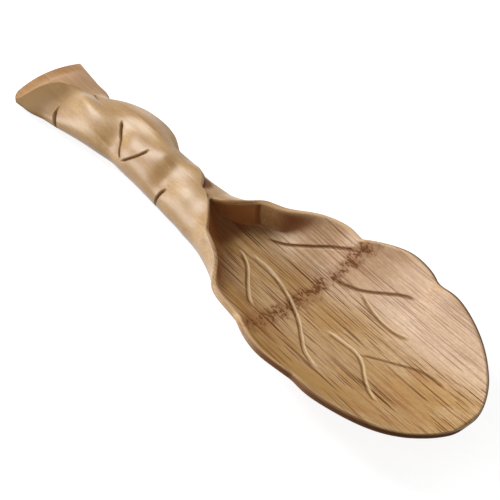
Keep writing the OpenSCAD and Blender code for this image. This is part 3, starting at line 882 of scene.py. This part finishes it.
class Bamboo(Tree):
    """Bamboo with its fibres along X: rubbed smooth on the outside, opened by the knife inside.

    Each lay_ method adds one kind of detail to the colour, over those before it. Sizes are in
    millimetres, and masks run from 0 to 1.
    """

    def __init__(self, name):
        super().__init__(name)
        place = self.add("TexCoord", {}).outputs["Object"]
        self.mm = self.sized(place, MM, MM, MM)
        self.x, self.y, self.z = self.add("SeparateXYZ", {0: self.mm}).outputs
        facing = self.add("NewGeometry", {}).outputs["Normal"]
        self.ny, self.nz = self.add("SeparateXYZ", {0: facing}).outputs[1:3]
        self.groove, self.lip, self.inside, self.hollow, self.nook, self.rim = map(self.mask, MASKS)
        self.skin = self.math("SUBTRACT", 1.0, self.inside)
        self.flat = self.among_fibres()
        self.color = self.ground()
        self.lay_grain()
        self.lay_fibres()
        self.lay_node()
        self.lay_cut_shade()
        self.lay_throat()
        self.lay_handle()
        self.lay_edges()
        self.finish()

    def lay(self, color, *shares):
        share = self.times(*shares) if len(shares) > 1 else shares[0]
        self.color = self.mix(share, self.color, srgb(*color))

    def among_fibres(self):
        """Places among the fibres, which run along X in slight waves, in layers that lean."""
        leaning = self.math("ADD", self.y, self.times(self.z, FIBRE_LEAN))
        flat = self.add("CombineXYZ", {0: self.x, 1: leaning}).outputs[0]
        wavy = self.noise(self.sized(flat, 40, 12, 1), detail=1)
        bent = self.add("CombineXYZ", {1: self.times(wavy, FIBRE_WAVE)}).outputs[0]
        return self.vector("ADD", flat, bent)

    def tones(self, even, warm, pale):
        """Three colours of bamboo in broad drifts, stretched along the culm."""
        drift = self.noise(self.sized(self.mm, 26, 7, 7), detail=3)
        patch = self.noise(self.sized(self.mm, 18, 2, 4))
        color = self.mix(self.ease(drift, 0.42, 0.62), srgb(*even), srgb(*pale))
        return self.mix(self.ease(patch, 0.52, 0.7, 0, 0.8), color, srgb(*warm))

    def ground(self):
        """The rubbed skin, yellower and darker where it faces sideways, partly as painted shade, and the
        opened inside, paler to the far side, partly as a painted sheen.
        """
        outer = self.tones(*OUTER_TONES)
        # Painted shade with a yellower tone, where the skin faces sideways
        outer = self.mix(self.ease(self.nz, 0.5, 0, 0, 0.8), outer, srgb(*OUTER_SIDES_TONE_AND_SHADE))
        inner = self.tones(*INNER_TONES)
        # A painted sheen over a paler tone, towards the far side
        inner = self.mix(self.ease(self.y, *FAR_SIDE_PALE_AND_SHEEN, 0, 0.75), inner, srgb(*INNER_FAR_PALE_AND_SHEEN))
        return self.mix(self.inside, outer, inner)

    def lay_grain(self):
        """Fine lines along the culm, and specks."""
        self.fine = self.noise(self.sized(self.mm, 30, 0.3, 0.9), detail=3, rough=0.6)
        self.lay(GRAIN, self.ease(self.fine, 0.35, 0.7, 0.22, 0))
        self.speck = self.noise(self.sized(self.mm, 1.6, 0.5, 0.5), detail=3, rough=0.65)
        self.lay(SPECKS, self.ease(self.speck, 0.4, 0.62, 0.16, 0))

    def strands(self, shift, length, width, radius):
        """Dark lens-shaped ends of fibre bundles, from 0 to 1."""
        gap = self.cells(self.sized(self.vector("ADD", self.flat, shift), length, width, 1))
        return self.ease(gap, radius, radius * 0.65)

    def bundles(self):
        """The bundles that the knife has opened, denser in some zones than in others."""
        long_ones = self.strands((0, 0, 0), 50, 0.82, 0.26)
        others = self.strands((17, 0.37, 2.1), 36, 0.64, 0.26)
        short_ones = self.strands((7, 0.61, 1.3), 16, 0.52, 0.27)
        fine_ones = self.strands((3, 0.23, 4.7), 30, 0.44, 0.24)
        zone = self.ease(self.noise(self.sized(self.flat, 22, 4, 1), detail=1), 0.36, 0.6, 0.5, 1)
        short_ones, fine_ones = self.times(short_ones, 0.9), self.times(fine_ones, 0.7)
        return self.times(self.math("MAXIMUM", long_ones, others, short_ones, fine_ones), zone)

    def lay_fibres(self):
        """Fibres where the knife has opened them, most of all on faces that look up."""
        opened = self.times(self.ease(self.inside, 0, 1, 0.12, 1), self.ease(self.nz, 0.3, 0.65, 0.25, 1))
        thin = self.ease(self.noise(self.sized(self.flat, 46, 0.45, 1)), 0.52, 0.66)
        self.lay(THIN_FIBRES, thin, opened, 0.6)
        self.streak = self.times(self.bundles(), opened, self.ease(self.y, *FAINT_FAR_FIBRES, 1, 0.45))
        self.lay(FIBRES, self.streak, 0.95)

    def node_band(self):
        """The mottled band where the fibres cross over."""
        wander = self.noise(self.sized(self.mm, 3, 2.2, 3))
        bend = self.times(self.math("POWER", self.y, 2.0), NODE_BEND)
        away = self.math("SUBTRACT", self.x, NODE_X, bend)
        away = self.math("ADD", away, self.times(self.math("SUBTRACT", wander, 0.5), NODE_WANDER))
        return self.times(self.ease(self.math("ABSOLUTE", away), *NODE_REACH), self.inside)

    def lay_node(self):
        """Reddened fibres before the node, the node itself and its dark flecks."""
        band = self.node_band()
        flecks = self.noise(self.sized(self.mm, 1.5, 0.8, 1.2), detail=3, rough=0.65)
        self.dots = self.times(self.ease(flecks, 0.47, 0.57), band)
        red = self.ease(self.noise(self.sized(self.flat, 20, 0.9, 1)), 0.5, 0.66)
        red = self.times(red, self.ease(self.x, *RED_START), self.ease(self.x, *RED_END), self.inside)
        self.lay(REDDENED, red, 0.6)
        self.lay(NODE_TONE, band, 0.6)
        self.lay(FLECKS, self.dots, 0.85)

    def lay_cut_shade(self):
        """Painted shade in the veins and creases, darkest outside."""
        # Painted shade down in the cuts
        self.lay(CUT_SHADE, self.groove, self.ease(self.inside, 0, 1, 0.92, 0.65))

    def lay_throat(self):
        """Reddish stain with painted shade on the walls of the mouth and of the curl, where the rims hide
        the sky, and painted shade in the depths behind the near wall and at the back of the throat.
        """
        # Walls deep in the hollow: a reddish stain, and painted shade
        self.wall = self.times(self.ease(self.nz, 0.75, 0.35), self.ease(self.hollow, 0.15, 0.4))
        self.lay(MOUTH_WALL_STAIN_AND_SHADE, self.wall, self.ease(self.x, *MOUTH_WALL_REACH, 0, 0.6))
        self.lay(CURL_WALL_STAIN_AND_SHADE, self.wall, self.ease(self.x, *CURL_WALL_REACH, 0, 0.85))
        # Painted shade where the near rim hides the sky, and at the back of the throat
        back = self.times(self.ease(self.x, *THROAT_BACK), self.inside)
        deep_shade = self.math("MAXIMUM", self.ease(self.nook, 0.5, 0.85, 0, 0.7), back)
        self.deep_shade = self.times(deep_shade, self.ease(self.ny, -0.65, -0.5))
        self.lay(DEPTH_SHADE, self.deep_shade, 0.7)

    def lay_handle(self):
        """Painted shade on the stem end's skin, and the painted shade of the tuck under the handle."""
        # Painted shade over the stem end's skin
        self.stem_side_shade = self.times(self.ease(self.x, *STEM_SIDE_REACH), self.ease(self.inside, 0.25, 0))
        self.lay(STEM_SIDE_SHADE, self.stem_side_shade, 0.75)
        from_tuck = self.add("VectorMath", {0: self.mm, 1: TUCK}, operation="DISTANCE").outputs["Value"]
        self.tuck = self.times(self.ease(from_tuck, *TUCK_REACH), self.ease(self.z, *TUCK_TOP))
        self.lay(TUCK_SHADE, self.tuck, 0.8)

    def lay_edges(self):
        """Painted highlights on the vein lips and along the rims, with some wear, painted shade on the skin
        that faces down, and the leaf's dark outer edge, darker skin with painted shade.
        """
        # Painted highlight on the vein lips
        self.lay(LIP_HIGHLIGHT, self.lip, 0.75)
        # Wear and a painted highlight along the inside of the rims
        rim_wear_highlight = self.times(self.rim, self.ease(self.inside, 0.45, 0.7))
        self.lay(WORN_RIM_HIGHLIGHT, rim_wear_highlight, self.ease(self.x, *WORN_HIGHLIGHT_RIM_REACH, 0.35, 0.65))
        # Painted shade on skin that faces down
        self.lay(UNDERSIDE_SHADE, self.ease(self.nz, 0.2, -0.4), self.skin, 0.8)
        # The leaf's outer rim and its turned near edge: darker skin with painted shade
        outer = self.times(self.math("POWER", self.rim, 0.4), self.ease(self.skin, 0.2, 0.45))
        outer = self.times(outer, self.ease(self.x, *DARK_EDGE_START))
        along = self.times(self.ease(self.x, *TURNED_EDGE_START), self.ease(self.x, *TURNED_EDGE_END))
        turned = self.times(self.ease(self.rim, 0.35, 0.7), along, self.ease(self.y, *TURNED_EDGE_SIDE))
        # self.edge carries the darker skin and painted shade of the outer rim
        self.edge = self.math("MAXIMUM", outer, self.times(turned, 0.8))
        self.lay(DARK_EDGE_AND_SHADE, self.edge, 0.9)

    def finish(self):
        """Relief from grain, fibres and flecks, and a coat that is dull in cuts, fibres and hollows."""
        lines = self.times(self.ease(self.fine, 0.3, 0.7), self.ease(self.inside, 0, 1, 0.08, 0.3))
        lines = self.math("ADD", lines, self.times(self.speck, 0.25))
        height = self.math("SUBTRACT", lines, self.streak, self.times(self.dots, 0.7))
        bump = self.add("Bump", {"Height": height, "Strength": BUMP_STRENGTH, "Distance": BUMP_DEPTH})
        dull = self.math(
            "MAXIMUM", self.deep_shade, self.streak, self.groove, self.dots, self.edge, self.tuck,
            self.times(self.wall, 0.7), self.times(self.stem_side_shade, 0.85),
            self.ease(self.ny, 0.45, 0.85, 0, 0.85),
        )
        rough = self.math("ADD", self.ease(self.fine, 0.3, 0.7, 0.4, 0.44), self.times(dull, 0.2))
        coat = self.times(self.ease(self.inside, 0, 1, 0.95, 0.48), self.ease(dull, 0, 1, 1, 0))
        inputs = self.shader.inputs
        self.put(inputs["Base Color"], self.color)
        self.put(inputs["Roughness"], rough)
        self.put(inputs["Normal"], bump.outputs[0])
        self.put(inputs["Coat Weight"], coat)
        inputs["Specular IOR Level"].default_value = SPECULAR
        inputs["Coat Roughness"].default_value = COAT_ROUGHNESS


leaf, (leaf_back, band_back, band_front, leaf_front) = leaf_skin()
leaf_bamboo = Bamboo("leaf_bamboo").material
node_bamboo = Bamboo("node_bamboo").material
leaf.piece("throat_carved", "leaf_throat", "leaf_bamboo", leaf_back, band_back, leaf_bamboo)
leaf.piece("band_carved", "node_band", "node_bamboo", band_back, band_front, node_bamboo)
leaf.piece("blade_carved", "leaf_blade", "leaf_bamboo", band_front, leaf_front, leaf_bamboo)

handle, (stem_back, stem_front, handle_front) = handle_skin()
handle_bamboo = Bamboo("handle_bamboo").material
handle.piece("stem_carved", "stem_end", "handle_bamboo", stem_back, stem_front, handle_bamboo)
handle.piece("handle_carved", "rolled_handle", "handle_bamboo", stem_front, handle_front, handle_bamboo)


# The camera: degrees round and up, what it looks at, how far off it is, and its focal length
AZIMUTH = 50.9
ELEVATION = 48.0
TARGET = Vector((10.1, -3.4, 11.7)) * MM
DISTANCE = 0.415
FOCAL_PIXELS = 1700.0
IMAGE_PIXELS = 500.0
SENSOR = 36.0
CLIP = (0.01, 10)

# Lamps: name, direction, width of the disc in metres and power in watts
LAMPS = (
    ("sheen", (-0.7, -0.66, 0.26), 0.5, 5.0),
    ("key", (-0.68, -0.16, 0.72), 0.4, 5.8),
    ("fill", (-0.2, 0.8, 0.6), 0.9, 2.2),
)
LAMP_DISTANCE = 0.9
WORLD_LEVEL = 0.38

# The floor: half its width and its drop in metres, the size of its specks, its greys and its glow
FLOOR_HALF = 3
FLOOR_DROP = 0.1 * MM
FLOOR_SPECK = 2.5 * MM
FLOOR_GREYS = (0.38, 0.4)
FLOOR_ROUGHNESS = 0.9
FLOOR_GLOW = 0.82


def aimed(data, name, towards, place):
    """An object at a place, looking back along a direction."""
    thing = bpy.data.objects.new(name, data)
    bpy.context.scene.collection.objects.link(thing)
    thing.location = place
    thing.rotation_mode = "QUATERNION"
    thing.rotation_quaternion = towards.to_track_quat("Z", "Y")
    return thing


def make_camera():
    data = bpy.data.cameras.new("camera")
    data.sensor_width = SENSOR
    data.lens = FOCAL_PIXELS * SENSOR / IMAGE_PIXELS
    data.clip_start, data.clip_end = CLIP
    a, e = math.radians(AZIMUTH), math.radians(ELEVATION)
    back = Vector((math.sin(a) * math.cos(e), -math.cos(a) * math.cos(e), math.sin(e)))
    bpy.context.scene.camera = aimed(data, "camera", back, TARGET + back * DISTANCE)


def make_lamps():
    for name, towards, width, power in LAMPS:
        data = bpy.data.lights.new(name, "AREA")
        data.shape = "DISK"
        data.size = width
        data.energy = power
        away = Vector(towards).normalized()
        aimed(data, name, away, away * LAMP_DISTANCE)


def seen_ray(nodes, links):
    """1 for rays that show a thing to the camera, straight or by a mirror or glass, and 0 for others."""
    path = nodes.new("ShaderNodeLightPath")
    shown = path.outputs["Is Camera Ray"]
    for ray in ("Is Glossy Ray", "Is Transmission Ray"):
        either = nodes.new("ShaderNodeMath")
        either.operation = "MAXIMUM"
        links.new(shown, either.inputs[0])
        links.new(path.outputs[ray], either.inputs[1])
        shown = either.outputs[0]
    return shown


def make_world():
    """Soft light all round, which looks white."""
    world = bpy.data.worlds.new("studio")
    bpy.context.scene.world = world
    world.use_nodes = True
    nodes, links = world.node_tree.nodes, world.node_tree.links
    nodes.clear()
    mix = nodes.new("ShaderNodeMixShader")
    links.new(seen_ray(nodes, links), mix.inputs["Fac"])
    for socket, level in ((1, WORLD_LEVEL), (2, 1)):
        background = nodes.new("ShaderNodeBackground")
        background.inputs["Strength"].default_value = level
        links.new(background.outputs[0], mix.inputs[socket])
    out = nodes.new("ShaderNodeOutputWorld")
    links.new(mix.outputs[0], out.inputs["Surface"])


def make_floor():
    """A pale floor that looks white, but throws back no more light than grey paper does."""
    mesh = bpy.data.meshes.new("floor")
    corners = [(x * FLOOR_HALF, y * FLOOR_HALF, 0) for x, y in ((-1, -1), (1, -1), (1, 1), (-1, 1))]
    mesh.from_pydata(corners, [], [(0, 1, 2, 3)])
    floor = bpy.data.objects.new("floor", mesh)
    bpy.context.scene.collection.objects.link(floor)
    floor.location.z = -FLOOR_DROP
    tree = Tree("floor")
    place = tree.add("TexCoord", {}).outputs["Object"]
    speck = tree.noise(tree.sized(place, FLOOR_SPECK, FLOOR_SPECK, FLOOR_SPECK))
    shade = tree.ease(speck, 0.3, 0.7, *FLOOR_GREYS)
    grey = tree.add("CombineColor", {0: shade, 1: shade, 2: shade}).outputs[0]
    inputs = tree.shader.inputs
    tree.put(inputs["Base Color"], grey)
    inputs["Roughness"].default_value = FLOOR_ROUGHNESS
    inputs["Specular IOR Level"].default_value = 0
    inputs["Emission Color"].default_value = (1, 1, 1, 1)
    tree.put(inputs["Emission Strength"], tree.times(seen_ray(tree.nodes, tree.links), FLOOR_GLOW))
    mesh.materials.append(tree.material)


make_camera()
make_floor()
make_world()
make_lamps()
bpy.context.scene.view_settings.view_transform = "Standard"
